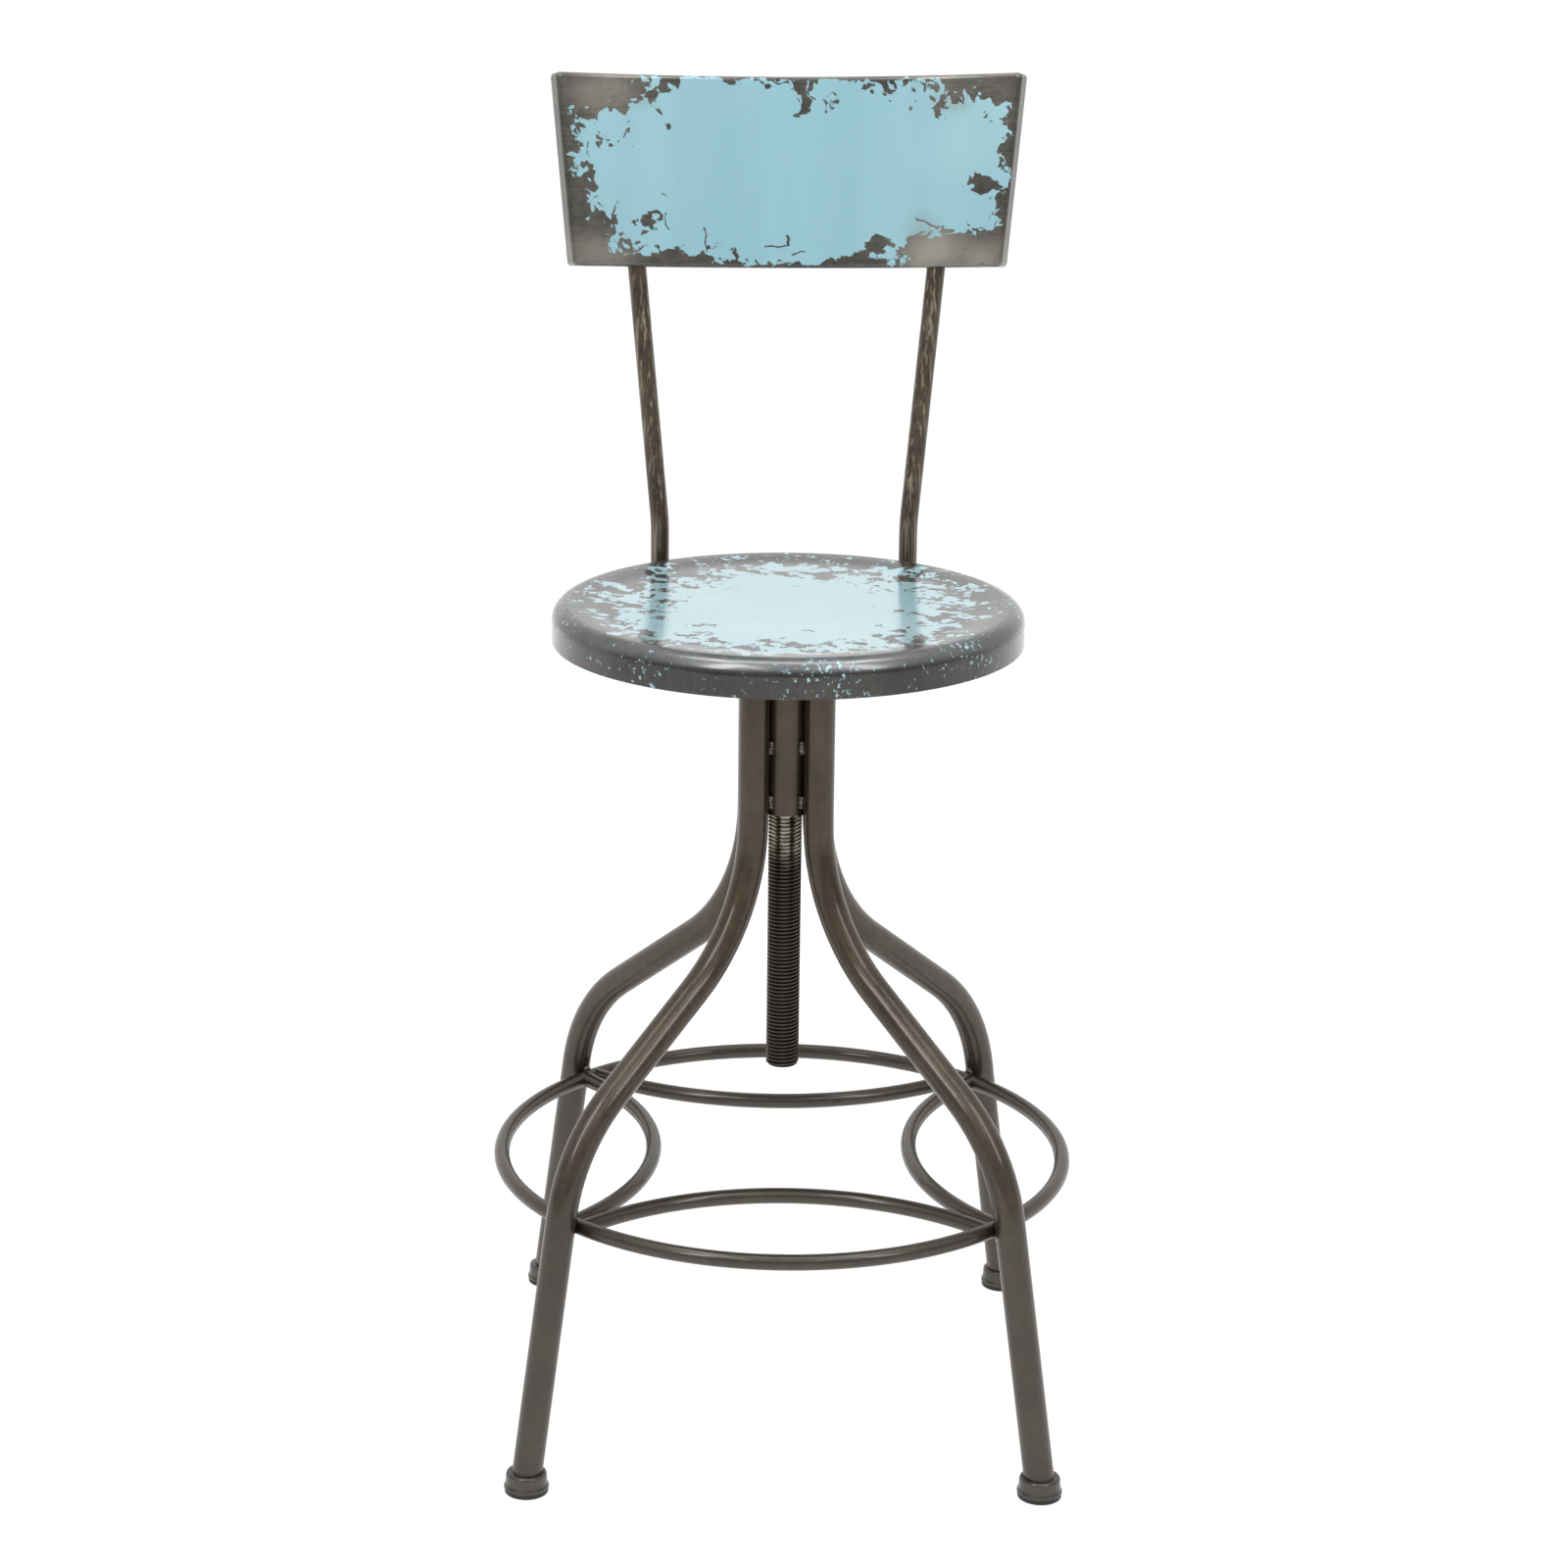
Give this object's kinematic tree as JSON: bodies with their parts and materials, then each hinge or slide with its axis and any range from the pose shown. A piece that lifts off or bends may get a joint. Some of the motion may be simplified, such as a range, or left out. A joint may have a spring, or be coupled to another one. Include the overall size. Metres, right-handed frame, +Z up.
{
  "type": "bar chair",
  "caption": "Metal bar chair with a round screw-lift seat, curved back panel on bent bars, splayed tubular legs and a hoop footrest with bowed bars.",
  "frame": {"origin": "on the floor, on the axis of the screw", "axes": "+Z up along the screw, -Y towards the front edge of the seat, +X to the viewer's right from the front"},
  "size_m": [0.4503, 0.4751, 1.0145],
  "materials": {
    "worn_blue_paint": "chipped light blue paint over dark steel",
    "dark_steel": "dark grey steel under clear satin lacquer",
    "screw_steel": "blackened screw steel, rubbed bright",
    "zinc": "zinc plate",
    "rubber": "matt black",
    "nylon": "matt"
  },
  "bodies": {
    "base": {"leg_front_left": "dark_steel", "ferrule_front_left": "dark_steel", "glide_front_left": "rubber", "leg_front_right": "dark_steel", "ferrule_front_right": "dark_steel", "glide_front_right": "rubber", "leg_rear_left": "dark_steel", "ferrule_rear_left": "dark_steel", "glide_rear_left": "rubber", "leg_rear_right": "dark_steel", "ferrule_rear_right": "dark_steel", "glide_rear_right": "rubber", "foot_arc_front": "dark_steel", "foot_arc_rear": "dark_steel", "foot_arc_left": "dark_steel", "foot_arc_right": "dark_steel", "hub": "dark_steel", "hub_welds": "dark_steel", "foot_ring": "dark_steel", "ring_welds": "dark_steel", "spindle_nut": "screw_steel", "guide_bush": "nylon"},
    "carrier": {"bumper": "rubber"},
    "seat": {"upright_left": "dark_steel", "upright_right": "dark_steel", "panel_welds": "dark_steel", "spindle": "screw_steel", "spindle_weld": "screw_steel", "spindle_flange": "screw_steel", "brace_front": "screw_steel", "brace_rear": "screw_steel", "upright_bolts": "zinc", "upright_nuts": "zinc", "seat_pan": "worn_blue_paint", "back_panel": "worn_blue_paint"}
  },
  "joints": [
    {"name": "seat_rise", "type": "slide", "parent": "base", "child": "carrier", "axis": [0, 0, 1], "range_m": [0, 0.15]},
    {"name": "seat_turn", "type": "hinge", "parent": "carrier", "child": "seat", "pos_m": [0, 0, 0.6], "axis": [0, 0, 1], "range_deg": [0, 18000]}
  ],
  "couplings": [
    {"joint": "seat_rise", "follows": "seat_turn", "m_per_rad": 0.00047746}
  ]
}
